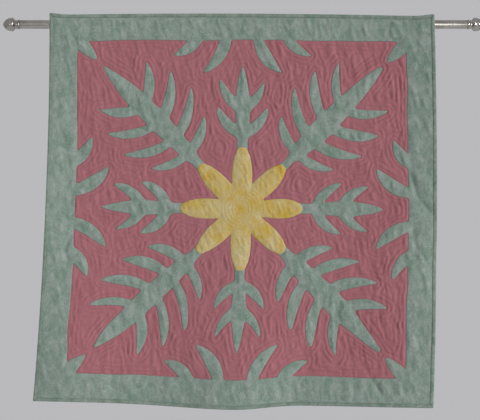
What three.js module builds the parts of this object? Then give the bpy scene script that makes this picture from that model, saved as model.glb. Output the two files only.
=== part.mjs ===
// A square quilt in the Hawaiian cut-cloth manner, hung by a sleeve on a metal curtain rod.
// Green leaves and a green border are laid over a quilted pink field, with a yellow flower in the middle.
// Millimetres, +Z up. The front faces -Y, and the origin is on the rod's axis, at the quilt's middle.
import * as THREE from "three";

// Sizes of the quilt
const QUILT_SIDE = 994; // over the binding, as it was cut and sewn
const FIELD_SIDE = 846; // the pink square inside the border
const PANEL_THICKNESS = 4; // face cloth, batting and backing, quilted together
const SHEET_THICKNESS = 1.2; // a laid-on cloth with its turned edge
const BINDING_WIDTH = 8.5;
const BINDING_THICKNESS = 1.6;
const GAP = 0.3; // between one piece and the next
const ECHO_PITCH = 24; // every second line of quilting that follows the leaves
const ECHO_HEIGHT = 1.6; // how far the padding rises between two lines
const FLOWER_UNDERLAP = 7; // the green under the flower is cut back by this much

// Sizes of what holds it
const ROD_DIAMETER = 22;
const ROD_LEFT = -565;
const ROD_RIGHT = 576;
const ROD_SIDES = 24;
const TOP_ABOVE_ROD = 24.2; // the quilt's top edge over the rod's axis
const SLEEVE_LENGTH = 930;
const SLEEVE_FOOT = -68; // height of the lower seam
const SLEEVE_SEAM = 5;
const SLEEVE_THICKNESS = 1.6;
const SLEEVE_TURN = 0.5; // how far below the rod's back the cloth still hugs it, in radians
const SLEEVE_BELLY = -6.5; // depth that the cloth heads for below the rod
const FINIAL_SIDES = 18;

// How the quilt hangs out of true
const LEFT_DRAW = 9.5; // the left side is drawn in at the sleeve
const LEFT_FLARE = 42; // and swings outwards towards the hem
const FLARE_POWER = 2.2; // mostly in its lower half
const RIGHT_DRAW = 8; // the right side is drawn in at both ends
const RIGHT_WIDEST = 0.46; // and not at this share of the way down
const LEFT_LIFT = 9.7; // the hem is higher at the left
const RIGHT_DROP = 8.2; // and lower at the right
const HEM_SAG = 12.4; // it dips in the middle
const HEM_SAG_LEFT = 220; // gently from the left
const HEM_SAG_RIGHT = 100; // and more steeply from the right
const TOP_DROOP = 5.3; // the top edge falls away to both sides
const TOP_TILT = 2; // and a little more at the right
const TOP_TUCK = 6; // it leans back over the rod, so what lies below sits higher
const TOP_TUCK_LENGTH = 70;
const EAR_HEIGHT = 5; // the top corners stand up
const EAR_WIDTH = 28;
const STRAIGHT_TOP = 120; // the sleeve holds this much of the top flat
const EASE_LENGTH = 240; // and the billows grow below it

// Soft billows: how far the cloth stands out to the front, about a middle, with a width and a height.
const BILLOWS = [
  { across: -440, up: -330, width: 130, height: 330, out: 9 },
  { across: -235, up: -300, width: 120, height: 260, out: -4 },
  { across: -10, up: -400, width: 130, height: 240, out: 6 },
  { across: 215, up: -300, width: 120, height: 280, out: -4 },
  { across: 445, up: -20, width: 100, height: 190, out: 6 },
  { across: 430, up: -430, width: 120, height: 170, out: 7 },
  { across: 0, up: 60, width: 240, height: 220, out: 3 },
  { across: -505, up: 20, width: 45, height: 260, out: 5 },
  { across: -10, up: -480, width: 95, height: 120, out: 8 },
  { across: 155, up: -480, width: 50, height: 80, out: -5 },
];

// Cut shapes. Each leaf runs along a guide, from root to tip as [along, aside] from the quilt's centre.
// A guide repeats it round the centre, mirrored: AXIS on the four sides, DIAGONAL towards the four corners.
const AXIS = (across, up) => [Math.max(across, up), Math.min(across, up)];
const DIAGONAL = (across, up) => [(across + up) * Math.SQRT1_2, Math.abs(across - up) * Math.SQRT1_2];
const STEM = () => 1;
const LEAF = (t) => 0.18 + 0.85 * Math.sin(Math.PI * (0.12 + 0.88 * t)) ** 0.75 * (1 - 0.15 * t);
const PETAL = (t) => (0.35 + 0.65 * Math.sin(Math.PI * (0.15 + 0.62 * t))) * Math.sqrt(1 - t ** 6);

const CENTRE_LEAVES = [
  { guide: DIAGONAL, outline: STEM, root: [0, 0], tip: [300, 0], bend: 0, half: 12 },
  { guide: DIAGONAL, outline: LEAF, root: [190, 0], tip: [500, 0], bend: 0, half: 27 },
  { guide: DIAGONAL, outline: LEAF, root: [196, 4], tip: [232, 92], bend: 9, half: 13 },
  { guide: DIAGONAL, outline: LEAF, root: [246, 6], tip: [306, 118], bend: 11, half: 14 },
  { guide: DIAGONAL, outline: LEAF, root: [302, 6], tip: [374, 112], bend: 11, half: 14 },
  { guide: DIAGONAL, outline: LEAF, root: [358, 6], tip: [436, 86], bend: 9, half: 13 },
  { guide: AXIS, outline: STEM, root: [0, 0], tip: [240, 0], bend: 0, half: 12 },
  { guide: AXIS, outline: LEAF, root: [200, 0], tip: [356, 0], bend: 0, half: 18 },
  { guide: AXIS, outline: LEAF, root: [186, 4], tip: [250, 62], bend: 9, half: 13 },
  { guide: AXIS, outline: LEAF, root: [250, 4], tip: [320, 56], bend: 8, half: 12 },
];
const BORDER_LEAVES = [
  { guide: AXIS, outline: LEAF, root: [440, 38], tip: [344, 98], bend: 12, half: 17 },
  { guide: AXIS, outline: LEAF, root: [440, 108], tip: [386, 174], bend: 9, half: 15 },
  { guide: DIAGONAL, outline: LEAF, root: [622, 0], tip: [532, 0], bend: 0, half: 17 },
  { guide: DIAGONAL, outline: LEAF, root: [596, 30], tip: [556, 102], bend: 12, half: 14 },
];
const PETALS = [AXIS, DIAGONAL].map((guide) => (
  { guide, outline: PETAL, root: [20, 0], tip: [152, 0], bend: 0, half: 25 }
));
const FLOWER_DISC = 54; // radius of the flower's middle
const CURVE_STEPS = 10; // straight pieces in one leaf's length
const CROTCH = 9; // rounding where leaves meet
const PETAL_CROTCH = 5;

// Spacing of the points that carry the cloth
const SAMPLE = 4;
const EDGE_STATIONS = 24;
const OUTLINE_POINTS = { least: 6, most: 16, turn: 0.36 };
const OUTLINE_CLEAR = 3;
const ECHO_POINTS = { least: 12, most: 26, turn: 0.5 };
const ECHO_LEVELS = 8; // crests and hollows counted out from the leaves
const ECHO_CLEAR = 9; // points closer than this to others are dropped
const FILL_STEP = 42;
const FILL_CLEAR = 21;
const BACK_STEP = 75;
const JITTER = 1e-3;

const EDGE = QUILT_SIDE / 2 - BINDING_THICKNESS - GAP; // half the panel's side
const CLOTH_EDGE = EDGE - BINDING_WIDTH - GAP; // half the side of the green border's outline
const FIELD_EDGE = FIELD_SIDE / 2;
const PANEL_FRONT_Y = -ROD_DIAMETER / 2 - SLEEVE_THICKNESS - 2 * GAP - PANEL_THICKNESS;

const lerp = THREE.MathUtils.lerp;
const bell = (x) => Math.exp(-x * x);

// The hung place of a point of the flat quilt that stands a height off the panel's front.
function hang(across, up, height) {
  const { smoothstep } = THREE.MathUtils;
  const below = EDGE - up;
  const drop = below / (2 * EDGE);
  const left = 0.5 - across / (2 * EDGE);
  const right = 1 - left;
  const aside = across / EDGE;
  const out = BILLOWS.reduce(
    (sum, b) => sum + b.out * bell((across - b.across) / b.width) * bell((up - b.up) / b.height),
    0,
  );
  const sagWidth = across < 0 ? HEM_SAG_LEFT : HEM_SAG_RIGHT;
  const x =
    across +
    left * (LEFT_DRAW - LEFT_FLARE * Math.max(drop, 0) ** FLARE_POWER) -
    right * RIGHT_DRAW * (2 * (drop - RIGHT_WIDEST)) ** 2;
  const z =
    TOP_ABOVE_ROD - below +
    drop * lerp(-RIGHT_DROP, LEFT_LIFT, left) -
    HEM_SAG * drop ** 2 * bell(across / sagWidth) -
    (TOP_DROOP * aside ** 2 + TOP_TILT * aside) * (1 - drop) ** 2 +
    TOP_TUCK * smoothstep(below, 0, TOP_TUCK_LENGTH) * (1 - drop) +
    EAR_HEIGHT * bell((EDGE - Math.abs(across)) / EAR_WIDTH) * bell(below / EAR_WIDTH);
  const y = PANEL_FRONT_Y - out * smoothstep(below, STRAIGHT_TOP, STRAIGHT_TOP + EASE_LENGTH) - height;
  return [x, y, z];
}

// A leaf's spine as points with a radius at each.
function spine({ outline, root, tip, bend, half }) {
  const chord = [tip[0] - root[0], tip[1] - root[1]];
  const length = Math.hypot(...chord);
  return Array.from({ length: CURVE_STEPS + 1 }, (_, i) => {
    const t = i / CURVE_STEPS;
    const bow = (bend * 4 * t * (1 - t)) / length;
    return {
      along: root[0] + chord[0] * t - chord[1] * bow,
      aside: root[1] + chord[1] * t + chord[0] * bow,
      radius: half * outline(t),
    };
  });
}

// Distance to a run of round dabs along a spine, less than zero inside.
function spineDistance(dabs, [along, aside]) {
  let nearest = Infinity;
  for (let i = 1; i < dabs.length; i++) {
    const a = dabs[i - 1];
    const b = dabs[i];
    const da = b.along - a.along;
    const db = b.aside - a.aside;
    const share = ((along - a.along) * da + (aside - a.aside) * db) / (da * da + db * db);
    const t = THREE.MathUtils.clamp(share, 0, 1);
    const away = Math.hypot(along - a.along - t * da, aside - a.aside - t * db);
    nearest = Math.min(nearest, away - lerp(a.radius, b.radius, t));
  }
  return nearest;
}

// The lesser of two distances, rounded where they are alike.
function joined(a, b, rounding) {
  const h = THREE.MathUtils.clamp(0.5 + (b - a) / (2 * rounding), 0, 1);
  return lerp(b, a, h) - rounding * h * (1 - h);
}

function leafField(rows, rounding) {
  const leaves = rows.map((row) => ({ guide: row.guide, dabs: spine(row) }));
  return (across, up) => leaves.reduce(
    (d, leaf) => joined(d, spineDistance(leaf.dabs, leaf.guide(Math.abs(across), Math.abs(up))), rounding),
    QUILT_SIDE,
  );
}

const fromMiddle = (across, up) => Math.max(Math.abs(across), Math.abs(up));
const petals = leafField(PETALS, PETAL_CROTCH);
const centreLeaves = leafField(CENTRE_LEAVES, CROTCH);
const borderLeaves = leafField(BORDER_LEAVES, CROTCH);

// Signed distance to each cut shape's outline in the flat, less than zero inside it.
const flower = (across, up) => joined(Math.hypot(across, up) - FLOWER_DISC, petals(across, up), PETAL_CROTCH);
const centre = (across, up) => joined(
  centreLeaves(across, up),
  Math.hypot(across, up) - FLOWER_DISC + FLOWER_UNDERLAP,
  CROTCH,
);
const border = (across, up) => Math.max(
  joined(FIELD_EDGE - fromMiddle(across, up), borderLeaves(across, up), PETAL_CROTCH),
  fromMiddle(across, up) - CLOTH_EDGE,
);
const bareField = (across, up) => Math.min(
  flower(across, up),
  centre(across, up),
  joined(FIELD_EDGE - fromMiddle(across, up), borderLeaves(across, up), PETAL_CROTCH),
);

// The lines along which a field crosses a level, as closed loops of points on a square grid.
function contourLoops(field, levels) {
  const cells = Math.ceil((2 * EDGE) / SAMPLE);
  const place = (i) => -EDGE + (i * 2 * EDGE) / cells;
  const values = Array.from({ length: cells + 1 }, (_, i) => (
    Float64Array.from({ length: cells + 1 }, (__, j) => field(place(i), place(j)))
  ));
  return levels.map((level) => loopsAt(values, place, level));
}

function loopsAt(values, place, level) {
  const cells = values.length - 1;
  const links = new Map();
  const points = new Map();
  const cross = (i, j, k, l) => {
    const a = values[i][j] - level;
    const b = values[k][l] - level;
    if (a < 0 === b < 0) return null;
    const key = `${i},${j},${k},${l}`;
    const t = a / (a - b);
    points.set(key, [lerp(place(i), place(k), t), lerp(place(j), place(l), t)]);
    return key;
  };
  const link = (a, b) => {
    links.set(a, [...(links.get(a) ?? []), b]);
    links.set(b, [...(links.get(b) ?? []), a]);
  };
  for (let i = 0; i < cells; i++) {
    for (let j = 0; j < cells; j++) {
      const found = [
        cross(i, j, i + 1, j),
        cross(i + 1, j, i + 1, j + 1),
        cross(i, j + 1, i + 1, j + 1),
        cross(i, j, i, j + 1),
      ].filter(Boolean);
      for (let n = 0; n + 1 < found.length; n += 2) link(found[n], found[n + 1]);
    }
  }
  const loops = [];
  const seen = new Set();
  for (const start of links.keys()) {
    const loop = [];
    for (let key = start; key && !seen.has(key); key = links.get(key).find((next) => !seen.has(next))) {
      seen.add(key);
      loop.push(points.get(key));
    }
    if (loop.length > 2) loops.push(loop);
  }
  return loops;
}

// Fewer points along a loop: one after the longest step, or sooner where the line has turned.
function thinned(loop, { least, most, turn }) {
  const kept = [loop[0]];
  let heading = null;
  for (const point of loop) {
    const last = kept.at(-1);
    const step = [point[0] - last[0], point[1] - last[1]];
    const length = Math.hypot(...step);
    if (length < least) continue;
    const now = Math.atan2(step[1], step[0]);
    heading ??= now;
    const turned = Math.abs(Math.atan2(Math.sin(now - heading), Math.cos(now - heading)));
    if (length < most && turned < turn) continue;
    kept.push(point);
    heading = now;
  }
  const close = Math.hypot(kept[0][0] - kept.at(-1)[0], kept[0][1] - kept.at(-1)[1]) < least;
  return close && kept.length > 3 ? kept.slice(0, -1) : kept;
}

// Triangles, as index triples that turn anticlockwise, that no other point's circle upsets.
function delaunay(points) {
  const count = points.length;
  const nudge = (i) => JITTER * Math.sin(i);
  const all = points.map(([x, y], i) => [x + nudge(12.9898 * i), y + nudge(78.233 * i)]);
  const far = 40 * QUILT_SIDE;
  all.push([-far, -far], [far, -far], [0, far]);
  const withCircle = (a, b, c) => {
    const [ax, ay] = all[a];
    const [bx, by] = [all[b][0] - ax, all[b][1] - ay];
    const [cx, cy] = [all[c][0] - ax, all[c][1] - ay];
    const twice = 2 * (bx * cy - by * cx);
    const bb = bx * bx + by * by;
    const cc = cx * cx + cy * cy;
    const x = (cy * bb - by * cc) / twice;
    const y = (bx * cc - cx * bb) / twice;
    return { corners: [a, b, c], x: ax + x, y: ay + y, reach: x * x + y * y };
  };
  let triangles = [withCircle(count, count + 1, count + 2)];
  for (let i = 0; i < count; i++) {
    const [x, y] = all[i];
    const rim = new Map();
    triangles = triangles.filter((t) => {
      if ((x - t.x) ** 2 + (y - t.y) ** 2 > t.reach) return true;
      t.corners.forEach((a, n) => {
        const b = t.corners[(n + 1) % 3];
        if (!rim.delete(`${b},${a}`)) rim.set(`${a},${b}`, [a, b]);
      });
      return false;
    });
    for (const [a, b] of rim.values()) triangles.push(withCircle(a, b, i));
  }
  return triangles.map((t) => t.corners).filter((corners) => corners.every((c) => c < count));
}

// The place of a station along a side: only the end ones move with the side's own length.
function stationPlace(station, half) {
  if (station === 0) return -half;
  return station === EDGE_STATIONS ? half : EDGE * ((2 * station) / EDGE_STATIONS - 1);
}

// Points at the same stations along all four sides of a square, so that neighbouring lines match.
function squareStations(half) {
  return Array.from({ length: EDGE_STATIONS }, (_, i) => stationPlace(i, half)).flatMap((s) => [
    [s, -half],
    [half, s],
    [-s, half],
    [-half, -s],
  ]);
}

function gridPoints(step) {
  const rows = Math.floor((CLOTH_EDGE - FILL_CLEAR) / step);
  const places = Array.from({ length: 2 * rows + 1 }, (_, i) => (i - rows) * step);
  return places.flatMap((across) => places.map((up) => [across, up]));
}

function addClear(points, extra, clear) {
  for (const [x, y] of extra) {
    if (points.every((p) => Math.hypot(p[0] - x, p[1] - y) > clear)) points.push([x, y]);
  }
}

// The points that every layer shares. The guards outside the edge keep the edge's own lines whole.
const guards = squareStations(EDGE + FILL_STEP);
const edgeLines = [...squareStations(EDGE), ...squareStations(CLOTH_EDGE)];

function outlinePoints(field) {
  const points = [];
  for (const loop of contourLoops(field, [0]).flat()) {
    addClear(points, thinned(loop, OUTLINE_POINTS), OUTLINE_CLEAR);
  }
  return points;
}

function layerPoints() {
  const points = [...guards, ...edgeLines];
  addClear(points, outlinePoints(centre), OUTLINE_CLEAR);
  const innerBorder = outlinePoints(border).filter((p) => fromMiddle(...p) < CLOTH_EDGE - SAMPLE);
  addClear(points, innerBorder, OUTLINE_CLEAR);
  const levels = Array.from({ length: ECHO_LEVELS }, (_, i) => ((i + 1) * ECHO_PITCH) / 2);
  for (const loop of contourLoops(bareField, levels).flat()) {
    addClear(points, thinned(loop, ECHO_POINTS), ECHO_CLEAR);
  }
  addClear(points, gridPoints(FILL_STEP), FILL_CLEAR);
  return points;
}

function flowerPoints() {
  const points = outlinePoints(flower);
  addClear(points, gridPoints(FILL_STEP).filter((p) => flower(...p) < 0), FILL_CLEAR);
  return points;
}

const middleOf = (points, corners) => (
  [0, 1].map((n) => corners.reduce((sum, c) => sum + points[c][n] / 3, 0))
);
const within = (points, faces, inside) => faces.filter((corners) => inside(...middleOf(points, corners)));

// A closed body between a front and a back sheet of faces that share their outer edges.
function clothGeometry(points, frontFaces, backFaces, frontHeight, backHeight) {
  const count = points.length;
  const positions = [
    ...points.flatMap(([across, up]) => hang(across, up, frontHeight(across, up))),
    ...points.flatMap(([across, up]) => hang(across, up, backHeight)),
  ];
  const rim = new Map();
  for (const corners of frontFaces) {
    corners.forEach((a, n) => {
      const b = corners[(n + 1) % 3];
      if (!rim.delete(`${b},${a}`)) rim.set(`${a},${b}`, [a, b]);
    });
  }
  const index = [
    ...frontFaces.flat(),
    ...backFaces.flatMap(([a, b, c]) => [c + count, b + count, a + count]),
    ...[...rim.values()].flatMap(([a, b]) => [a, a + count, b, b, a + count, b + count]),
  ];
  const geometry = new THREE.BufferGeometry();
  geometry.setAttribute("position", new THREE.Float32BufferAttribute(positions, 3));
  geometry.setIndex(index);
  return geometry.toNonIndexed();
}

// The padding is drawn down along the quilting lines and rises between them.
function echoHeight(across, up) {
  const distance = bareField(across, up);
  return distance < 0 ? 0 : (ECHO_HEIGHT * (1 - Math.cos((2 * Math.PI * distance) / ECHO_PITCH))) / 2;
}

// A folded strip over one edge, turned by quarter turns round the quilt, with mitred ends.
function bindingGeometry(quarter) {
  const over = GAP + BINDING_THICKNESS;
  const section = [
    { inset: BINDING_WIDTH, height: GAP },
    { inset: BINDING_WIDTH, height: over },
    { inset: 0, height: over },
    { inset: -over, height: 0 },
    { inset: -over, height: -PANEL_THICKNESS },
    { inset: 0, height: -PANEL_THICKNESS - over },
    { inset: BINDING_WIDTH, height: -PANEL_THICKNESS - over },
    { inset: BINDING_WIDTH, height: -PANEL_THICKNESS - GAP },
    { inset: -GAP, height: -PANEL_THICKNESS - GAP },
    { inset: -GAP, height: GAP },
  ];
  const turn = new THREE.Vector2();
  const ring = (station) => section.flatMap(({ inset, height }) => {
    const reach = EDGE - inset;
    turn.set(stationPlace(station, reach - GAP), reach);
    turn.rotateAround(new THREE.Vector2(), (quarter * Math.PI) / 2);
    return hang(turn.x, turn.y, height);
  });
  const size = section.length;
  const positions = Array.from({ length: EDGE_STATIONS + 1 }, (_, i) => ring(i)).flat();
  const index = [];
  for (let i = 0; i < EDGE_STATIONS; i++) {
    for (let k = 0; k < size; k++) {
      const a = i * size + k;
      const b = i * size + ((k + 1) % size);
      index.push(a, a + size, b, b, a + size, b + size);
    }
  }
  const flat = section.map(({ inset, height }) => new THREE.Vector2(inset, height));
  const last = EDGE_STATIONS * size;
  for (const [a, b, c] of THREE.ShapeUtils.triangulateShape(flat, [])) {
    index.push(a, b, c, c + last, b + last, a + last);
  }
  const geometry = new THREE.BufferGeometry();
  geometry.setAttribute("position", new THREE.Float32BufferAttribute(positions, 3));
  geometry.setIndex(index);
  return geometry.toNonIndexed();
}

// The sleeve sewn to the back: from the top seam its cloth goes over the rod and down to the foot seam.
function sleeveGeometry() {
  const inner = ROD_DIAMETER / 2 + GAP;
  const outer = inner + SLEEVE_THICKNESS;
  const shape = new THREE.Shape();
  shape.moveTo(-outer, -SLEEVE_SEAM);
  shape.absarc(0, 0, outer, Math.PI, -SLEEVE_TURN, true);
  shape.quadraticCurveTo(SLEEVE_BELLY, SLEEVE_FOOT / 2, -inner, SLEEVE_FOOT);
  shape.lineTo(-inner, SLEEVE_FOOT - SLEEVE_SEAM);
  shape.lineTo(-outer, SLEEVE_FOOT - SLEEVE_SEAM);
  shape.lineTo(-outer, SLEEVE_FOOT + SLEEVE_THICKNESS);
  const end = [inner * Math.cos(SLEEVE_TURN), -inner * Math.sin(SLEEVE_TURN)];
  shape.quadraticCurveTo(SLEEVE_BELLY - SLEEVE_THICKNESS, SLEEVE_FOOT / 2, ...end);
  shape.absarc(0, 0, inner, -SLEEVE_TURN, Math.PI, false);
  shape.lineTo(-inner, -SLEEVE_SEAM);
  const options = { depth: SLEEVE_LENGTH, bevelEnabled: false, curveSegments: 6 };
  const geometry = new THREE.ExtrudeGeometry(shape, options);
  // The section's own axes become Y and Z, and its depth runs along X.
  const [back, up, along] = [[0, 1, 0], [0, 0, 1], [1, 0, 0]].map((axis) => new THREE.Vector3(...axis));
  geometry.applyMatrix4(new THREE.Matrix4().makeBasis(back, up, along));
  geometry.translate(-SLEEVE_LENGTH / 2, 0, 0);
  return geometry;
}

// A finial's profile: [distance from the rod's end, radius].
const FINIAL_PROFILE = [
  [GAP, 0],
  [GAP, 12.1],
  [3.2, 12.4],
  [4.5, 11.1],
  [9, 10.9],
  [12, 12.2],
  [15, 15.6],
  [16.8, 17.3],
  [18.5, 17.6],
  [21, 16.9],
  [27, 16],
  [33, 13.4],
  [38, 9.3],
  [41, 4.9],
  [42.5, 0],
];

function finialGeometry() {
  const profile = FINIAL_PROFILE.map(([far, radius]) => new THREE.Vector2(radius, far));
  return new THREE.LatheGeometry(profile, FINIAL_SIDES);
}

const materials = {
  field: new THREE.MeshStandardMaterial({ name: "field", color: 0xa6606c, roughness: 0.95 }),
  leaf: new THREE.MeshStandardMaterial({ name: "leaf", color: 0x87a08f, roughness: 0.95 }),
  binding: new THREE.MeshStandardMaterial({ name: "binding", color: 0x6f8f7c, roughness: 0.95 }),
  flower: new THREE.MeshStandardMaterial({ name: "flower", color: 0xcdb465, roughness: 0.95 }),
  metal: new THREE.MeshStandardMaterial({ name: "metal", color: 0x9a958c, roughness: 0.3, metalness: 1 }),
};

const quilt = new THREE.Group();

function addPiece(name, geometry, material) {
  const mesh = new THREE.Mesh(geometry, material);
  mesh.name = name;
  mesh.geometry.computeVertexNormals();
  quilt.add(mesh);
  return mesh;
}

function addCloths() {
  const points = layerPoints();
  const faces = within(points, delaunay(points), (across, up) => fromMiddle(across, up) < EDGE);
  const backPoints = [...guards, ...edgeLines];
  addClear(backPoints, gridPoints(BACK_STEP), FILL_CLEAR);
  const backFaces = within(backPoints, delaunay(backPoints), (across, up) => fromMiddle(across, up) < EDGE);
  const shared = guards.length + edgeLines.length;
  const offset = points.length - shared;
  const panelPoints = [...points, ...backPoints.slice(shared)];
  const panelBack = backFaces.map((corners) => corners.map((c) => (c < shared ? c : c + offset)));
  const panel = clothGeometry(panelPoints, faces, panelBack, echoHeight, -PANEL_THICKNESS);
  addPiece("quilt_panel", panel, materials.field);

  addSheet("border_cloth", points, within(points, faces, (...p) => border(...p) < 0), 1, materials.leaf);
  addSheet("leaf_cloth", points, within(points, faces, (...p) => centre(...p) < 0), 1, materials.leaf);
  const petalPoints = flowerPoints();
  const petalFaces = within(petalPoints, delaunay(petalPoints), (...p) => flower(...p) < 0);
  addSheet("flower_cloth", petalPoints, petalFaces, 2, materials.flower);
}

// A laid-on cloth of even thickness, one or two layers over the panel.
function addSheet(name, points, faces, layer, material) {
  const top = layer * (GAP + SHEET_THICKNESS);
  addPiece(name, clothGeometry(points, faces, faces, () => top, top - SHEET_THICKNESS), material);
}

addCloths();
["top", "left", "bottom", "right"].forEach((side, quarter) => {
  addPiece(`binding_${side}`, bindingGeometry(quarter), materials.binding);
});
addPiece("hanging_sleeve", sleeveGeometry(), materials.binding);

const rodLength = ROD_RIGHT - ROD_LEFT;
const rod = addPiece(
  "rod",
  new THREE.CylinderGeometry(ROD_DIAMETER / 2, ROD_DIAMETER / 2, rodLength, ROD_SIDES),
  materials.metal,
);
rod.rotation.z = Math.PI / 2;
rod.position.x = (ROD_LEFT + ROD_RIGHT) / 2;

const finialLeft = addPiece("finial_left", finialGeometry(), materials.metal);
finialLeft.rotation.z = Math.PI / 2;
finialLeft.position.x = ROD_LEFT;
const finialRight = addPiece("finial_right", finialGeometry(), materials.metal);
finialRight.rotation.z = -Math.PI / 2;
finialRight.position.x = ROD_RIGHT;

export default quilt;
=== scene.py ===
import math
from collections import namedtuple

import bpy
import numpy as np
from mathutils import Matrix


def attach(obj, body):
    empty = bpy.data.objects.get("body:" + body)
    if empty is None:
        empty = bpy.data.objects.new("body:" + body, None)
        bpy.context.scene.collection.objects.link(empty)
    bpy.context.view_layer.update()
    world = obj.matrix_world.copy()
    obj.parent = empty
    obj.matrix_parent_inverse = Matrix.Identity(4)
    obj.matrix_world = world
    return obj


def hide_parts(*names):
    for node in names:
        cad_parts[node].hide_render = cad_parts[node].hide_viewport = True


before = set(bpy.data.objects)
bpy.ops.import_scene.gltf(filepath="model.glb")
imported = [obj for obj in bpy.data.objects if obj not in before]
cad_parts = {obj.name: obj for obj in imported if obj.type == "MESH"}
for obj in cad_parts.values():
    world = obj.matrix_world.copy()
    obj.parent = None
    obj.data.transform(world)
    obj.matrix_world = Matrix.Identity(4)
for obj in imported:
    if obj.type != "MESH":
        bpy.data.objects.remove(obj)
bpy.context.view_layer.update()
SCENE = bpy.context.scene

# Sizes in millimetres, as in the part's own source
MM = 0.001
QUILT_SIDE = 994
FIELD_SIDE = 846
PANEL_THICKNESS = 4
BINDING_WIDTH = 8.5
BINDING_THICKNESS = 1.6
GAP = 0.3
FLOWER_UNDERLAP = 7
ROD_DIAMETER = 22
ROD_LEFT, ROD_RIGHT = -565, 576
TOP_ABOVE_ROD = 24.2
SLEEVE_LENGTH = 930
SLEEVE_FOOT = -68
SLEEVE_SEAM = 5
SLEEVE_THICKNESS = 1.6
SLEEVE_TURN = 0.5
SLEEVE_BELLY = -6.5

EDGE = QUILT_SIDE / 2 - BINDING_THICKNESS - GAP
CLOTH_EDGE = EDGE - BINDING_WIDTH - GAP
FIELD_EDGE = FIELD_SIDE / 2
PANEL_FRONT_Y = -ROD_DIAMETER / 2 - SLEEVE_THICKNESS - 2 * GAP - PANEL_THICKNESS

# How the quilt hangs out of true
LEFT_DRAW = 9.5
LEFT_FLARE, FLARE_POWER = 42, 2.2
RIGHT_DRAW, RIGHT_WIDEST = 8, 0.46
LEFT_LIFT = 9.7
RIGHT_DROP = 8.2
HEM_SAG, HEM_SAG_LEFT, HEM_SAG_RIGHT = 12.4, 220, 100
TOP_DROOP = 5.3
TOP_TILT = 2
TOP_TUCK, TOP_TUCK_LENGTH = 6, 70
EAR_HEIGHT, EAR_WIDTH = 5, 28
STRAIGHT_TOP = 120
EASE_LENGTH = 240

# Swellings of the hung cloth: middle, half width and length, depth to the front, and lean in degrees.
# Billows fade out towards the straight top, and creases do not.
Swelling = namedtuple("Swelling", "across up width length out lean", defaults=[0])
BILLOWS = [Swelling(*row) for row in (
    (-440, -330, 130, 330, 9),
    (-235, -300, 120, 260, -4),
    (-10, -400, 130, 240, 6),
    (215, -300, 120, 280, -4),
    (445, -20, 100, 190, 6),
    (430, -430, 120, 170, 7),
    (0, 60, 240, 220, 3),
    (-505, 20, 45, 260, 5),
    (-10, -480, 95, 120, 8),
    (155, -480, 50, 80, -5),
)]
CREASES = [Swelling(*row) for row in (
    (438, 66, 7, 40, -4.2, 10),
    (467, 8, 7, 34, -3.8, 43),
    (438, -71, 8, 44, -3.2, 5),
    (424, 4, 6, 12, -1.6, -63),
    (520, 440, 80, 120, 8),
    (515, 200, 60, 170, 5.5),
    (515, -150, 50, 85, -9),
    (502, -310, 20, 60, 2.4),
    (-505, 10, 40, 200, 4.5),
    (-505, -440, 50, 60, -5),
    (-434, 20, 6, 24, -2.8),
    (-437, -92, 6, 24, -3.2, -23),
    (-437, -130, 6, 24, -3.0, 23),
    (-482, -310, 6, 16, -2.0, -50),
    (355, -446, 6, 44, -3.4, 33),
    (165, -466, 6, 22, -2.4, 12),
    (-300, -456, 9, 30, -1.6, 12),
    (-120, -462, 9, 26, -1.4, -8),
    (300, -455, 9, 26, -1.4, -14),
)]

# Cut shapes. A guide repeats each leaf round the centre, mirrored: on the sides or towards the corners.
AXIS, DIAGONAL = "axis", "diagonal"
STEM, LEAF, PETAL = "stem", "leaf", "petal"
Leaf = namedtuple("Leaf", "guide root tip bend half outline", defaults=[LEAF])
CENTRE_LEAVES = [
    Leaf(DIAGONAL, (0, 0), (300, 0), 0, 12, STEM),
    Leaf(DIAGONAL, (190, 0), (500, 0), 0, 27),
    Leaf(DIAGONAL, (196, 4), (232, 92), 9, 13),
    Leaf(DIAGONAL, (246, 6), (306, 118), 11, 14),
    Leaf(DIAGONAL, (302, 6), (374, 112), 11, 14),
    Leaf(DIAGONAL, (358, 6), (436, 86), 9, 13),
    Leaf(AXIS, (0, 0), (240, 0), 0, 12, STEM),
    Leaf(AXIS, (200, 0), (356, 0), 0, 18),
    Leaf(AXIS, (186, 4), (250, 62), 9, 13),
    Leaf(AXIS, (250, 4), (320, 56), 8, 12),
]
BORDER_LEAVES = [
    Leaf(AXIS, (440, 38), (344, 98), 12, 17),
    Leaf(AXIS, (440, 108), (386, 174), 9, 15),
    Leaf(DIAGONAL, (622, 0), (532, 0), 0, 17),
    Leaf(DIAGONAL, (596, 30), (556, 102), 12, 14),
]
PETALS = [Leaf(guide, (20, 0), (152, 0), 0, 25, PETAL) for guide in (AXIS, DIAGONAL)]
FLOWER_DISC = 54
CURVE_STEPS = 10
CROTCH = 9
PETAL_CROTCH = 5

# Quilting and padding
ECHO_PITCH = 10.5
LINE_ROUNDING, ROUNDING_MARGIN = 6, 2.2
FIELD_PUFF = 1.5
BACK_PUFF = 2.0
LEAF_PUFF = 1.7
FLOWER_PITCH, FLOWER_PUFF, RING_OFFSET = 9, 0.9, 1
MEAN_FULLNESS, PADDING_ROUNDNESS = 0.9, 0.9
FIELD_FLATTENING, BORDER_FLATTENING = 0.4, 0.5
FIELD_PUCKER_SPREAD, BACK_PUCKER_SPREAD = 0.45, 0.6
# How sharply the painted shade gathers along the quilting lines, on the front and on the back
FIELD_SHADE_SHARPNESS, BACK_SHADE_SHARPNESS = 5, 2
PETAL_PUFF = 0.8
FIELD_LEAN, LEAF_LEAN, PETAL_LEAN = 0.2, 0.25, 0.35
FIELD_SLACK, FIELD_SLACKER_RIGHT = 0.97, 0.17
LEAF_SLACK, LEAF_SLACKER_RIGHT = 0.88, 0.14
GATHER_REACH, FOOT_GATHERS = 40, 0.65
FIELD_PINCH, BACK_PINCH, LEAF_PINCH, PETAL_PINCH = 3.5, 4, 11, 3
LEAF_CALM = 6
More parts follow.
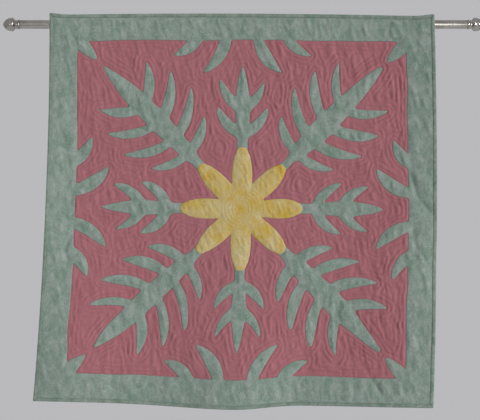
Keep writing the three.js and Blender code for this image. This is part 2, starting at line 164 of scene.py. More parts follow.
STITCH_LENGTH, STITCH_STEP = 2.2, 3.9
STITCH_HALF = 0.22
SEAM_STEP = 5.5

# Distances over which the cloth changes: covered by another, beside the binding, past the rings and the rod
FIELD_SINKS, LEAF_SINKS, FLOWER_RISES = (3, 9), (-4, 6), (-5, 3)
PUFF_BEGINS, RIPPLES_BEGIN = (-1, 50), (-1, 9)
BORDER_LEVELS = (FIELD_EDGE - 5, FIELD_EDGE + 20)
RINGS_END = (FLOWER_DISC - 6, FLOWER_DISC + 16)
SLEEVE_SLACK, FOOT_SLACK = (45, 75), (8, 25)
# Painted shade along the binding's seam: its strength, and how far in from the binding's outer edge it rises
SEAM_SHADE, SEAM_SHADE_BEGINS = 1.9, (5.2, 7.4)

# Small waves: depth, size across and up, a seed for the pattern, and a lean aside for each step up
Wave = namedtuple("Wave", "depth wide tall seed lean", defaults=[0])
CUT_WANDER = [Wave(2.6, 62, 62, 23)]
LINE_WANDER = [Wave(3.4, 46, 46, 1), Wave(2.04, 17, 17, 2)]
FIELD_FULLNESS = [Wave(0.3, 60, 60, 3), Wave(0.45, 14, 20, 4)]
FIELD_DRIFT = [Wave(7, 70, 70, 14)]
FIELD_PUCKERS = [Wave(1.5, 5.4, 28, 5), Wave(0.9, 9.5, 17, 6)]
BACK_PUCKERS = [Wave(0.6, 7.5, 30, 18, -0.2), Wave(0.4, 13, 19, 19)]
FOLD_WAVES = [Wave(0.45, 27, 27, 15)]
LEAF_DRIFT = [Wave(9, 90, 90, 7)]
LEAF_UPRIGHT = [Wave(2.0, 9.5, 30, 8), Wave(1.4, 19, 55, 9)]
LEAF_CROSSWISE = [Wave(0.7, 34, 11, 10)]
LEAF_GATHERS = [Wave(1.9, 7.5, 80, 20, 0.1), Wave(1.2, 13, 90, 21)]
RING_WANDER = [Wave(1.6, 20, 20, 11)]
RING_FULLNESS = [Wave(0.4, 14, 14, 12)]
RING_PUCKERS = [Wave(0.2, 8, 8, 13)]
PETAL_PUCKERS = [Wave(1.2, 6.5, 20, 16), Wave(0.7, 14, 12, 17)]
STRIP_WAVER = [Wave(0.6, 38, 1, 0), Wave(0.3, 11, 1, 1)]
STRIP_PLUMP = [Wave(0.28, 13, 1, 2), Wave(0.2, 6, 1, 3)]
STRIP_SEED, STRIP_SEED_STEP = 20, 5
SLEEVE_FOLDS = [Wave(2.6, 64, 90, 31), Wave(1.3, 23, 60, 32)]
SEAM_RUN = [Wave(0.8, 9, 1, 40)]
SEAM_RISE = [Wave(0.4, 9, 1, 41)]

# The turned-under rim of a laid-on cloth: rows of points in from the cut edge, and heights
RIM_LEVELS = np.array([0, -1.1, -2.8])
RIM_TURN = 2.2
RIM_HEIGHT, FOLD_HEIGHT = 0.08, 0.5
# Share of painted shade along the turned-under rim
RIM_SHADE = 0.2
BORDER_TUCK = 2.6
FLOWER_LIFT = 0.8
FLOOR_BEND = 0.6

# Mesh spacing
FIELD_CELL = 2.75
BLOCK = 4
# Covered field: how far under the other cloth its mesh stays fine, how deep it sinks, and its painted shade
COVERED, COVERED_DEPTH, COVERED_SHADE = 4, 2, 0.7
BACK_CELL = 3.4
BORDER_CELL = 3.2
LEAF_CELL = 2.8
FLOWER_CELL, FLOWER_HALF = 1.9, 4 * FLOWER_DISC
STRIP_STEP = 4
TURNED_SIDES = 64
SNAP, LINE_SNAP = 0.2, 0.45
LEAST_STEEP, LEAST_SLOPE = 0.3, 0.2
TINY = 1e-6

# How deep in the dye's pattern each cloth lies
FIELD_LAYER, BACK_LAYER = 0, -20
LEAF_LAYER, FLOWER_LAYER = 40, 72
STRIP_LAYER, STRIP_LAYER_STEP = 60, 9
SLEEVE_LAYER, THREAD_LAYER = 120, 160


def bell(x):
    """A smooth hump, one at nought."""
    return np.exp(-x * x)


def smoothstep(x, low, high):
    """Rises smoothly from nought at a low value to one at a high one."""
    t = np.clip((x - low) / (high - low), 0, 1)
    return t * t * (3 - 2 * t)


def lattice(i, j, seed):
    """A fixed number from -1 to 1 for each whole-numbered place."""
    wave = np.sin(i * 127.1 + j * 311.7 + seed * 74.7) * 43758.5453
    return 2 * (wave - np.floor(wave)) - 1


def between(corner, i, j, s, t):
    """A value inside a cell, from the values at its four corners."""
    low = corner(i, j) * (1 - s) + corner(i + 1, j) * s
    high = corner(i, j + 1) * (1 - s) + corner(i + 1, j + 1) * s
    return low * (1 - t) + high * t


def noise(x, y, seed):
    """Smooth lumps one unit across, from -1 to 1."""
    i, j = np.floor(x), np.floor(y)
    s, t = smoothstep(x - i, 0, 1), smoothstep(y - j, 0, 1)
    return between(lambda a, b: lattice(a, b, seed), i, j, s, t)


def waves(kinds, across, up, seed=0):
    """The sum of some small waves."""
    return sum(k.depth * noise((across + k.lean * up) / k.wide, up / k.tall, seed + k.seed) for k in kinds)


def swollen(kinds, across, up):
    """The sum of some swellings."""
    out = 0
    for k in kinds:
        lean = math.radians(k.lean)
        x, y = across - k.across, up - k.up
        aside = x * math.cos(lean) + y * math.sin(lean)
        along = y * math.cos(lean) - x * math.sin(lean)
        out = out + k.out * bell(aside / k.width) * bell(along / k.length)
    return out


def stands_out(across, up):
    """How far the hung cloth stands out to the front."""
    eased = smoothstep(EDGE - up, STRAIGHT_TOP, STRAIGHT_TOP + EASE_LENGTH)
    return eased * swollen(BILLOWS, across, up) + swollen(CREASES, across, up)


def hang(across, up, height):
    """The hung places, in metres, of points of the flat quilt that stand a height off the panel's front."""
    below = EDGE - up
    drop = below / (2 * EDGE)
    left = 0.5 - across / (2 * EDGE)
    right = 1 - left
    aside = across / EDGE
    sag_width = np.where(across < 0, HEM_SAG_LEFT, HEM_SAG_RIGHT)
    x = (
        across
        + left * (LEFT_DRAW - LEFT_FLARE * np.maximum(drop, 0) ** FLARE_POWER)
        - right * RIGHT_DRAW * (2 * (drop - RIGHT_WIDEST)) ** 2
    )
    z = (
        TOP_ABOVE_ROD
        - below
        + drop * (LEFT_LIFT * left - RIGHT_DROP * right)
        - HEM_SAG * drop**2 * bell(across / sag_width)
        - (TOP_DROOP * aside**2 + TOP_TILT * aside) * (1 - drop) ** 2
        + TOP_TUCK * smoothstep(below, 0, TOP_TUCK_LENGTH) * (1 - drop)
        + EAR_HEIGHT * bell((EDGE - np.abs(across)) / EAR_WIDTH) * bell(below / EAR_WIDTH)
    )
    y = PANEL_FRONT_Y - stands_out(across, up) - height
    return np.stack([x, y, z], axis=-1) * MM


# Cut edges, as distances that are less than nought inside the cloth
def leaf_radius(t, outline):
    """Half the width along a leaf from root to tip, as a share of its widest."""
    if outline == STEM:
        return np.ones_like(t)
    if outline == PETAL:
        return (0.35 + 0.65 * np.sin(np.pi * (0.15 + 0.62 * t))) * np.sqrt(1 - t**6)
    return 0.18 + 0.85 * np.sin(np.pi * (0.12 + 0.88 * t)) ** 0.75 * (1 - 0.15 * t)


def spine(leaf):
    """A leaf's middle line as places along and aside of its guide, with a radius at each."""
    t = np.linspace(0, 1, CURVE_STEPS + 1)
    chord = np.subtract(leaf.tip, leaf.root)
    bow = leaf.bend * 4 * t * (1 - t) / np.hypot(*chord)
    along = leaf.root[0] + chord[0] * t - chord[1] * bow
    aside = leaf.root[1] + chord[1] * t + chord[0] * bow
    return along, aside, leaf.half * leaf_radius(t, leaf.outline)


def leaf_distance(leaf, across, up):
    """Distance to a leaf and its mirrored copies."""
    a, b = np.abs(across), np.abs(up)
    if leaf.guide == AXIS:
        along, aside = np.maximum(a, b), np.minimum(a, b)
    else:
        along, aside = (a + b) * math.sqrt(0.5), np.abs(a - b) * math.sqrt(0.5)
    x, y, r = spine(leaf)
    nearest = np.full_like(along, QUILT_SIDE)
    for i in range(CURVE_STEPS):
        dx, dy = x[i + 1] - x[i], y[i + 1] - y[i]
        t = np.clip(((along - x[i]) * dx + (aside - y[i]) * dy) / (dx * dx + dy * dy), 0, 1)
        away = np.hypot(along - x[i] - t * dx, aside - y[i] - t * dy)
        nearest = np.minimum(nearest, away - r[i] - (r[i + 1] - r[i]) * t)
    return nearest


def joined(a, b, rounding):
    """The lesser of two distances, rounded where they are alike."""
    h = np.clip(0.5 + (b - a) / (2 * rounding), 0, 1)
    return b + (a - b) * h - rounding * h * (1 - h)


def from_middle(across, up):
    return np.maximum(np.abs(across), np.abs(up))


def cut_edge(shape, leaves, across, up, crotch, foot):
    """The unevenly cut edge of a shape with leaves on it, rounded between the leaves and at their feet."""
    nearest = np.full_like(across, QUILT_SIDE)
    for leaf in leaves:
        nearest = joined(nearest, leaf_distance(leaf, across, up), crotch)
    return joined(shape, nearest, foot) + waves(CUT_WANDER, across, up)


def flower_edge(across, up):
    disc = np.hypot(across, up) - FLOWER_DISC
    return cut_edge(disc, PETALS, across, up, PETAL_CROTCH, PETAL_CROTCH)


def centre_edge(across, up):
    disc = np.hypot(across, up) - FLOWER_DISC + FLOWER_UNDERLAP
    return cut_edge(disc, CENTRE_LEAVES, across, up, CROTCH, CROTCH)


def inner_edge(across, up):
    band = FIELD_EDGE - from_middle(across, up)
    return cut_edge(band, BORDER_LEAVES, across, up, CROTCH, PETAL_CROTCH)


def border_edge(across, up):
    return np.maximum(inner_edge(across, up), from_middle(across, up) - CLOTH_EDGE - BORDER_TUCK)


def bare_distance(across, up):
    """Distance of the bare field from the nearest laid-on cloth."""
    nearest = np.minimum(flower_edge(across, up), centre_edge(across, up))
    return np.minimum(nearest, inner_edge(across, up))


# Lines of quilting
def square_grid(half, cell):
    count = BLOCK * math.ceil(2 * half / (cell * BLOCK))
    places = np.linspace(-half, half, count + 1)
    return np.meshgrid(places, places, indexing="ij")


def corners_of(grid):
    """The values at the four corners of each cell, in order round it."""
    return grid[:-1, :-1], grid[1:, :-1], grid[1:, 1:], grid[:-1, 1:]


def blurred(values, reach):
    """A square grid of values smoothed over a reach counted in cells."""
    side = math.ceil(ROUNDING_MARGIN * reach)
    weights = bell(np.arange(-side, side + 1) / reach)
    weights /= weights.sum()
    for axis in (0, 1):
        margin = [(side, side) if axis == n else (0, 0) for n in (0, 1)]
        padded = np.pad(values, margin, mode="edge")
        values = np.apply_along_axis(np.convolve, axis, padded, weights, "valid")
    return values


def echo_lines():
    """A grid that grows by one pitch from each line of quilting to the next.

    The lines keep to the cut edges near them, round off farther out, and wander as hand sewing does."""
    across, up = square_grid(EDGE, FIELD_CELL)
    distance = bare_distance(across, up)
    farther = smoothstep(distance, ECHO_PITCH / 3, 2 * ECHO_PITCH)
    lines = distance + farther * (blurred(distance, LINE_ROUNDING / FIELD_CELL) - distance)
    return lines + waves(LINE_WANDER, across, up) * smoothstep(distance, 0, ECHO_PITCH)


ECHO_LINES = echo_lines()


def quilting(across, up):
    """The value of the echo lines at any place."""
    cells = len(ECHO_LINES) - 1
    x, y = (np.clip((a + EDGE) * cells / (2 * EDGE), 0, cells - TINY) for a in (across, up))
    i, j = x.astype(int), y.astype(int)
    return between(lambda a, b: ECHO_LINES[a, b], i, j, x - i, y - j)


def padding(lines, pitch):
    """Nought along the stitches and one between them."""
    return np.where(lines > 0, np.abs(np.sin(np.pi * lines / pitch)) ** PADDING_ROUNDNESS, 0)


def quilted_grid(cell):
    """A grid over the whole quilt with points along the quilting, and the lines' value at each point."""
    across, up = square_grid(EDGE, cell)
    lines = quilting(across, up)
    cell = across[1, 0] - across[0, 0]
    slope_across, slope_up = np.gradient(lines, cell)
    steep = slope_across**2 + slope_up**2
    gap = np.round(lines / ECHO_PITCH) * ECHO_PITCH - lines
    close = (np.abs(gap) < LINE_SNAP * cell * np.sqrt(steep)) & (steep > LEAST_STEEP) & (lines > -cell)
    step = np.where(close, gap / np.maximum(steep, LEAST_STEEP), 0)
    across, up = np.clip((across + step * slope_across, up + step * slope_up), -EDGE, EDGE)
    return across, up, quilting(across, up)


# Materials
def node_tools(owner):
    """The nodes of a material or world, and short ways to set one up and to add one."""
    owner.use_nodes = True
    tree = owner.node_tree

    def set_up(node, links=None, **values):
        for key, value in values.items():
            if hasattr(node, key):
                setattr(node, key, value)
            else:
                node.inputs[key.replace("_", " ")].default_value = value
        for socket, source in (links or {}).items():
            tree.links.new(source, node.inputs[socket])
        return node

    def add(kind, links=None, **values):
        return set_up(tree.nodes.new("ShaderNode" + kind), links, **values)

    return tree.nodes, set_up, add


def lumpy(add, place, scale, detail, roughness=0.5, distortion=0.0):
    """The value of a noise texture."""
    values = {"Scale": scale, "Detail": detail, "Roughness": roughness, "Distortion": distortion}
    return add("TexNoise", {"Vector": place}, **values).outputs["Fac"]


def stretched(add, place, scale):
    """Places scaled along each axis."""
    return add("Mapping", {"Vector": place}, Scale=scale).outputs["Vector"]


def ramp(add, source, low, high, colours):
    """Blends from one colour at a low value to another at a high one."""
    node = add("ValToRGB", {"Fac": source})
    node.color_ramp.elements[0].position = low
    node.color_ramp.elements[1].position = high
    for element, colour in zip(node.color_ramp.elements, colours):
        element.color = (*colour, 1)
    return node.outputs["Color"]


def blend(add, kind, factor, a, b):
    """Mixes two colours, each of them plain or from a node."""
    node = add("Mix", data_type="RGBA", blend_type=kind)
    for socket, value in ((0, factor), (6, a), (7, b)):
        if hasattr(value, "links"):
            node.id_data.links.new(value, node.inputs[socket])
        else:
            node.inputs[socket].default_value = value if socket == 0 else (*value, 1)
    return node.outputs[2]


# A dye and the painted shade of its ditches: colours, blotches' fineness, ditch shade colour, bloom's share,
# blotches' softness, flecks' fineness
DyeAndShade = namedtuple(
    "DyeAndShade", "dark light bloom blotch ditch share edge fleck", defaults=[(0.8, 0.8, 0.8), 0.3, 0.17, 3.1]
)
# How far the painted ditch shade darkens the colour at full strength
DITCH_SHADE_SHARE = 0.25


def dyed_and_shaded_colour(add, dripped, patches, dye_and_shade):
    """Two-toned blotches, a paler bloom in flecks, and painted shade that darkens the stitched-down ditches.
    """
    middle = 0.51
    colour = ramp(add, patches, middle - dye_and_shade.edge, middle + dye_and_shade.edge, (dye_and_shade.dark, dye_and_shade.light))
    flecks = lumpy(add, dripped, dye_and_shade.blotch * dye_and_shade.fleck, detail=5.0, roughness=0.7, distortion=1.6)
    fleck_share = ramp(add, flecks, low=0.52, high=0.72, colours=((0, 0, 0), (dye_and_shade.share,) * 3))
    colour = blend(add, "MIX", fleck_share, colour, dye_and_shade.bloom)
    # Painted shade: the colour is darkened towards the ditch shade colour where the mesh's ditch attribute is
    # high
    ditch = add("Attribute", attribute_name="ditch").outputs["Fac"]
    ditch_shade_share = add("Math", {0: ditch}, operation="MULTIPLY")
    ditch_shade_share.inputs[1].default_value = DITCH_SHADE_SHARE
    return blend(add, "MULTIPLY", ditch_shade_share.outputs[0], colour, dye_and_shade.ditch)


def woven_surface(add, flat, lumps):
    """A plain weave over fine puckers that run up the cloth."""
    thread = {"Scale": 420.0, "Distortion": 0.6, "Detail": 1.0}
    warp = add("TexWave", {"Vector": flat}, bands_direction="X", **thread)
    weft = add("TexWave", {"Vector": flat}, bands_direction="Y", **thread)
    weave = add("Math", {0: warp.outputs["Fac"], 1: weft.outputs["Fac"]}, operation="ADD")
    surface = add("Math", {0: weave.outputs[0], 1: lumps}, operation="MULTIPLY")
    puckers = lumpy(add, stretched(add, flat, (1, 0.32, 1)), scale=150.0, detail=2.0, distortion=0.5)
    folds = add("Bump", {"Height": puckers}, Strength=0.6, Distance=0.0012)
    sources = {"Height": surface.outputs[0], "Normal": folds.outputs["Normal"]}
    return add("Bump", sources, Strength=0.35, Distance=0.0003).outputs["Normal"]


def cloth_material(name, dye_and_shade):
    """Dyed cotton with painted shade in its ditches, matt with a faint sheen."""
    material = bpy.data.materials.new(name)
    nodes, set_up, add = node_tools(material)
    flat = add("Attribute", attribute_name="flat").outputs["Vector"]
    dripped = stretched(add, flat, (1, 0.72, 1))
    patches = lumpy(add, dripped, dye_and_shade.blotch, detail=4.0, roughness=0.66, distortion=0.7)
    lumps = lumpy(add, flat, scale=260.0, detail=3.0)
    grain = ramp(add, lumps, low=0.3, high=0.7, colours=((0.86, 0.86, 0.86), (1.0, 1.0, 1.0)))
    colour = blend(add, "MULTIPLY", 1.0, dyed_and_shaded_colour(add, dripped, patches, dye_and_shade), grain)
    rough = add("MapRange", {"Value": patches}, To_Min=0.84, To_Max=0.96).outputs["Result"]
    sources = {"Base Color": colour, "Roughness": rough, "Normal": woven_surface(add, flat, lumps)}
    sheen = {"Specular_IOR_Level": 0.22, "Sheen_Weight": 0.12, "Sheen_Roughness": 0.6}
    set_up(nodes["Principled BSDF"], sources, **sheen)
    return material


def metal_material(name, base, worn, rough_low, rough_high):
    """Satin metal with fine lines round it and a little handling wear."""
    material = bpy.data.materials.new(name)
    nodes, set_up, add = node_tools(material)
    place = add("TexCoord").outputs["Object"]
    lines = lumpy(add, stretched(add, place, (900, 14, 14)), scale=1.0, detail=3.0)
    smears = lumpy(add, place, scale=38.0, detail=4.0, roughness=0.6)
    colour = ramp(add, smears, low=0.35, high=0.7, colours=(base, worn))
    rough = add("MapRange", {"Value": smears}, To_Min=rough_low, To_Max=rough_high)
    bump = add("Bump", {"Height": lines}, Strength=0.12, Distance=0.0002)
    sources = {"Base Color": colour, "Roughness": rough.outputs["Result"], "Normal": bump.outputs["Normal"]}
    set_up(nodes["Principled BSDF"], sources, Metallic=1.0)
    return material


PINK = cloth_material("field_cloth", DyeAndShade(
    dark=(0.385, 0.135, 0.160), light=(0.425, 0.160, 0.188), bloom=(0.47, 0.20, 0.23),
    blotch=24.0, ditch=(0.75, 0.66, 0.68),
))
BACK_PINK = cloth_material("backing_cloth", DyeAndShade(
    dark=(0.40, 0.145, 0.17), light=(0.44, 0.175, 0.20), bloom=(0.49, 0.21, 0.24),
    blotch=22.0, ditch=(0.75, 0.66, 0.68),
))
GREEN = cloth_material("leaf_cloth", DyeAndShade(
    dark=(0.174, 0.263, 0.204), light=(0.321, 0.378, 0.346), bloom=(0.43, 0.48, 0.47),
    blotch=46.0, ditch=(0.62, 0.7, 0.65), share=0.8, fleck=4.6,
))
BINDING_GREEN = cloth_material("binding_cloth", DyeAndShade(
    dark=(0.15, 0.224, 0.176), light=(0.285, 0.345, 0.303), bloom=(0.365, 0.42, 0.395),
    blotch=52.0, ditch=(0.55, 0.64, 0.58), share=0.5,
))
YELLOW = cloth_material("flower_cloth", DyeAndShade(
    dark=(0.575, 0.385, 0.06), light=(0.60, 0.505, 0.265), bloom=(0.67, 0.60, 0.38),
    blotch=21.0, ditch=(0.78, 0.66, 0.45), share=0.6, edge=0.15,
))
PINK_THREAD = cloth_material("field_thread", DyeAndShade(
    dark=(0.34, 0.11, 0.13), light=(0.40, 0.14, 0.16), bloom=(0.43, 0.17, 0.19),
    blotch=60.0,
))
GREEN_THREAD = cloth_material("seam_thread", DyeAndShade(
    dark=(0.10, 0.15, 0.12), light=(0.14, 0.20, 0.16), bloom=(0.18, 0.24, 0.20),
    blotch=60.0,
))
METAL = metal_material(
    "rod_metal", base=(0.40, 0.37, 0.34), worn=(0.58, 0.55, 0.51), rough_low=0.11, rough_high=0.17
)


# Pieces
def add_object(name, data):
    added = bpy.data.objects.new(name, data)
    SCENE.collection.objects.link(added)
    return added


def add_piece(name, points, faces, material, replaced=(), flat=None, ditch=None):
    """A mesh that rides the part's body, with the places on its flat cloth and the painted shade of its
    ditches for the colour.
    """
    mesh = bpy.data.meshes.new(name)
    mesh.from_pydata(points.tolist(), [], faces)
    mesh.shade_smooth()
    if flat is not None:
        places = mesh.attributes.new("flat", "FLOAT_VECTOR", "POINT")
        places.data.foreach_set("vector", np.asarray(flat, np.float32).ravel())
        # The ditch attribute holds how strongly shade is painted into the colour at each point
        depth = mesh.attributes.new("ditch", "FLOAT", "POINT")
        depth.data.foreach_set("value", np.asarray(ditch, np.float32).ravel())
    mesh.materials.append(material)
    piece = add_object(name, mesh)
    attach(piece, "root")
    if replaced:
        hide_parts(*replaced)
    return piece


def flat_places(across, up, layer):
    return np.stack([across, up, np.full_like(across, layer)], axis=-1) * MM


def block_faces(fine):
    """Faces of a grid: its own small squares where a block is fine, and one face for each other block."""
    blocks = len(fine)
    side = blocks * BLOCK + 1
    index = np.arange(side**2).reshape(side, side)
    small = np.kron(fine, np.ones((BLOCK, BLOCK), bool))
    faces = np.stack(corners_of(index), axis=-1)[small].tolist()

    def run(line, beside):
        """A side of a block: all its points beside a fine block, else only the first."""
        whole = 0 <= beside[0] < blocks and 0 <= beside[1] < blocks and fine[beside]
        return line[: -1 if whole else 1].tolist()

    for i, j in zip(*np.nonzero(~fine)):
        a, b = i * BLOCK, j * BLOCK
        c, d = a + BLOCK, b + BLOCK
        faces.append(
            run(index[a : c + 1, b], (i, j - 1))
            + run(index[c, b : d + 1], (i + 1, j))
            + run(index[a : c + 1, d][::-1], (i, j + 1))
            + run(index[a, b : d + 1][::-1], (i - 1, j))
        )
    return faces


def used_only(faces, *columns):
    """Drops the points that no face uses."""
    used = np.unique(np.concatenate(faces))
    renumber = np.zeros(len(columns[0]), int)
    renumber[used] = np.arange(len(used))
    return [renumber[f].tolist() for f in faces], *[column[used] for column in columns]


def make_field():
    """The pink face: quilted in lines that echo the leaves, and flat where other cloth covers it."""
    across, up, lines = quilted_grid(FIELD_CELL)
    count = len(across) - 1
    bare = lines > -COVERED
    fine = np.zeros((count // BLOCK, count // BLOCK), bool)
    last = count - BLOCK + 1
    for i in range(BLOCK + 1):
        for j in range(BLOCK + 1):
            fine |= bare[i : i + last : BLOCK, j : j + last : BLOCK]
    soft = padding(lines, ECHO_PITCH)
    fullness = MEAN_FULLNESS + waves(FIELD_FULLNESS, across, up)
    drift = across + FIELD_LEAN * up + waves(FIELD_DRIFT, across, up)
    clear = 1 - bell(lines / FIELD_PINCH)
    slack = FIELD_SLACK + FIELD_SLACKER_RIGHT * across / FIELD_EDGE
    puff = FIELD_PUFF * soft * fullness * (1 - FIELD_FLATTENING * (1 - clear))
    height = slack * (puff + waves(FIELD_PUCKERS, drift, up) * clear * soft**FIELD_PUCKER_SPREAD)
    height = height - COVERED_DEPTH * smoothstep(-lines, *FIELD_SINKS)
    # Painted shade in the quilting valleys, and an even painted shade where other cloth covers the field
    columns = [a.ravel() for a in (across, up, height, np.where(lines > 0, 1 - soft, COVERED_SHADE))]
    faces, across, up, height, ditch = used_only(block_faces(fine), *columns)
    points, flat = hang(across, up, height), flat_places(across, up, FIELD_LAYER)
    ditch = np.clip(ditch, 0, 1) ** FIELD_SHADE_SHARPNESS
    return add_piece("field_cloth", points, faces, PINK, ["quilt_panel"], flat, ditch)


def make_backing():
    """The plain back, drawn in along the same lines of quilting."""
    across, up, lines = quilted_grid(BACK_CELL)
    soft = np.where(lines > 0, padding(lines, ECHO_PITCH), 1 - np.exp(lines / BACK_PINCH))
    puckers = waves(BACK_PUCKERS, across, up) * soft**BACK_PUCKER_SPREAD
    height = -PANEL_THICKNESS + BACK_PUFF * (1 - soft) + puckers
    blocks = len(across) // BLOCK
    fine = np.ones((blocks, blocks), bool)
    faces = [face[::-1] for face in block_faces(fine)]
    across, up, height, soft = (a.ravel() for a in (across, up, height, soft))
    points, flat = hang(across, up, height), flat_places(across, up, BACK_LAYER)
    # Painted shade along the quilting lines of the back
    ditch = (1 - soft) ** BACK_SHADE_SHARPNESS
    return add_piece("backing_cloth", points, faces, BACK_PINK, (), flat, ditch)


def split_along(columns, triangles, level):
    """Cuts each triangle that crosses a level of the last column, so that the level runs along edges."""
    over = columns[-1] - level
    sides = over[triangles]
    crossing = (sides < 0).any(1) & (sides > 0).any(1)
    columns = [list(column) for column in columns]
    cuts = {}

    def cut(p, q):
        key = (min(p, q), max(p, q))
        if key not in cuts:
            cuts[key] = len(columns[0])
            t = over[p] / (over[p] - over[q])
            for column in columns:
                column.append(column[p] + (column[q] - column[p]) * t)
            columns[-1][-1] = level
        return cuts[key]

    split = triangles[~crossing].tolist()
    for corners in triangles[crossing].tolist():
        for way in (-1, 1):
            ring = []
            for p, q in zip(corners, corners[1:] + corners[:1]):
                if way * over[p] >= 0:
                    ring.append(p)
                if over[p] * over[q] < 0:
                    ring.append(cut(p, q))
            split += [[ring[0], ring[k], ring[k + 1]] for k in range(1, len(ring) - 1)]
    return [np.array(column) for column in columns], np.array(split)


def rim_grid(edge, half, cell):
    """A grid with points along the rim's rows, and the distance of each point from the edge."""
    across, up = square_grid(half, cell)
    size = across[1, 0] - across[0, 0]
    distance = edge(across, up)
    slope_across, slope_up = np.gradient(distance, size)
    steep = np.maximum(slope_across**2 + slope_up**2, LEAST_STEEP)
    nearest = RIM_LEVELS[np.abs(distance[..., None] - RIM_LEVELS).argmin(-1)]
    step = np.where(np.abs(distance - nearest) < SNAP * size, (nearest - distance) / steep, 0)
    return across + step * slope_across, up + step * slope_up, np.where(step, nearest, distance)


def cut_out(edge, half, cell):
    """Triangles of a flat grid cut along an edge, with rows of points along the rim.

    Gives the faces, and the place and the distance from the edge of each point."""
    columns = rim_grid(edge, half, cell)
    a, b, c, d = corners_of(np.arange(columns[0].size).reshape(columns[0].shape))
    odd = np.indices(a.shape).sum(0) % 2 == 1
    first = np.stack([a, b, np.where(odd, c, d)], -1)
    second = np.stack([np.where(odd, a, b), c, d], -1)
    triangles = np.concatenate([first, second]).reshape(-1, 3)
    columns = [column.ravel() for column in columns]
    triangles = triangles[(columns[-1][triangles] < 0).any(1)]
    for level in RIM_LEVELS:
        columns, triangles = split_along(columns, triangles, level)
    values = columns[-1][triangles]
    inside = (values <= 0).all(1) & (values < 0).any(1)
    return used_only(triangles[inside].tolist(), *columns)


def floored(height):
    """Keeps a height above nought, bending gently where it would pass below."""
    return (height + np.hypot(height, FLOOR_BEND)) / 2


def make_laid_cloth(name, node, edge, half, cell, front, material, layer, slot, lift=0):
    """A laid-on cloth with its edge turned under: its front and back faces meet along the outline."""
    faces, across, up, distance = cut_out(edge, half, cell)
    inner = np.maximum(-distance, 0)
    base = GAP + lift * smoothstep(-centre_edge(across, up), *FLOWER_RISES)
    rim = inner < TINY
    rise = floored(front(across, up, inner))
    turned = np.exp(-inner / RIM_TURN)
    fold = FOLD_HEIGHT * (1 + waves(FOLD_WAVES, across, up))
    top = base + RIM_HEIGHT + (1 - turned) * (fold + rise)
    back_index = np.where(rim, np.arange(len(across)), len(across) + np.cumsum(~rim) - 1)
    back_faces = [back_index[face[::-1]].tolist() for face in faces]
    back_faces = [face for face, front_face in zip(back_faces, faces) if set(face) != set(front_face)]
    points = np.concatenate([hang(across, up, top), hang(across[~rim], up[~rim], base[~rim])])
    # Painted shade along the turned-under rim, fading inwards
    columns = flat_places(across, up, layer), RIM_SHADE * turned
    flat, ditch = (np.concatenate([column, column[~rim]]) for column in columns)
    return add_piece(name, points, faces + back_faces, material, [node], flat, ditch)


def green_front(across, up, inner):
    """Padding and puckers of the green cloths, flat under the flower and beside the binding."""
    clear = smoothstep(flower_edge(across, up), *LEAF_SINKS)
    outward = from_middle(across, up)
    from_binding = CLOTH_EDGE - outward
    level = 1 - BORDER_FLATTENING * smoothstep(outward, *BORDER_LEVELS)
    puff = LEAF_PUFF * level * (1 - bell(inner / LEAF_PINCH)) * smoothstep(from_binding, *PUFF_BEGINS)
    drift = across + (LEAF_LEAN * up + waves(LEAF_DRIFT, across, up))
    along_top, along_foot = bell((CLOTH_EDGE - up) / GATHER_REACH), bell((up + CLOTH_EDGE) / GATHER_REACH)
    gathers = waves(LEAF_GATHERS, across, up) * (along_top + FOOT_GATHERS * along_foot)
    ripples = waves(LEAF_UPRIGHT, drift, up) + gathers + waves(LEAF_CROSSWISE, across, up)
    slack = LEAF_SLACK + LEAF_SLACKER_RIGHT * across / EDGE
    ripples = slack * ripples * (1 - bell(inner / LEAF_CALM)) * smoothstep(from_binding, *RIPPLES_BEGIN)
    return clear * (puff + ripples)


def yellow_front(across, up, inner):
    """The flower is quilted in rings on its disc, and its petals pucker unevenly."""
    reach = np.hypot(across, up) + waves(RING_WANDER, across, up) + RING_OFFSET
    fullness = MEAN_FULLNESS + waves(RING_FULLNESS, across, up)
    ringed = 1 - smoothstep(reach, *RINGS_END)
    rings = FLOWER_PUFF * padding(reach, FLOWER_PITCH) * fullness + waves(RING_PUCKERS, across, up)
    puckers = PETAL_PUFF + waves(PETAL_PUCKERS, across + PETAL_LEAN * up, up)
    return (rings * ringed + puckers * (1 - ringed)) * (1 - np.exp(-inner / PETAL_PINCH))


# The binding's folded section: how far in from the cut edge, and the height off the panel's front.
# The points that show come first, and those are puckered.
BINDING_SECTION = [
    (BINDING_WIDTH, 0.5), (BINDING_WIDTH - 0.2, 1.0), (BINDING_WIDTH - 0.8, 1.4),
    (6.4, 1.7), (4.6, 1.95), (2.8, 2.05), (1.0, 1.9), (-0.8, 1.3), (-1.7, 0.0), (-1.9, -2.0), (-1.7, -4.0),
    (-0.8, -5.3), (1.0, -6.0), (2.8, -6.2), (4.6, -6.1), (6.4, -5.85),
    (BINDING_WIDTH - 0.8, -5.5), (BINDING_WIDTH - 0.2, -5.0), (BINDING_WIDTH, -4.35),
    (-GAP, -PANEL_THICKNESS - GAP), (-GAP, GAP),
]
SECTION_SHOWN = 19
SEWN_INSET = 5
PLUMP_INSET, PLUMP_REACH = 3, 4


def swept_faces(rings, size):
    """Faces of a closed section carried along, with a face at each end."""
    faces = []
    for i in range(rings - 1):
        for k in range(size):
            a, b = i * size + k, i * size + (k + 1) % size
            faces.append([a, a + size, b + size, b])
    last = (rings - 1) * size
    return faces + [list(range(size)), [last + k for k in reversed(range(size))]]


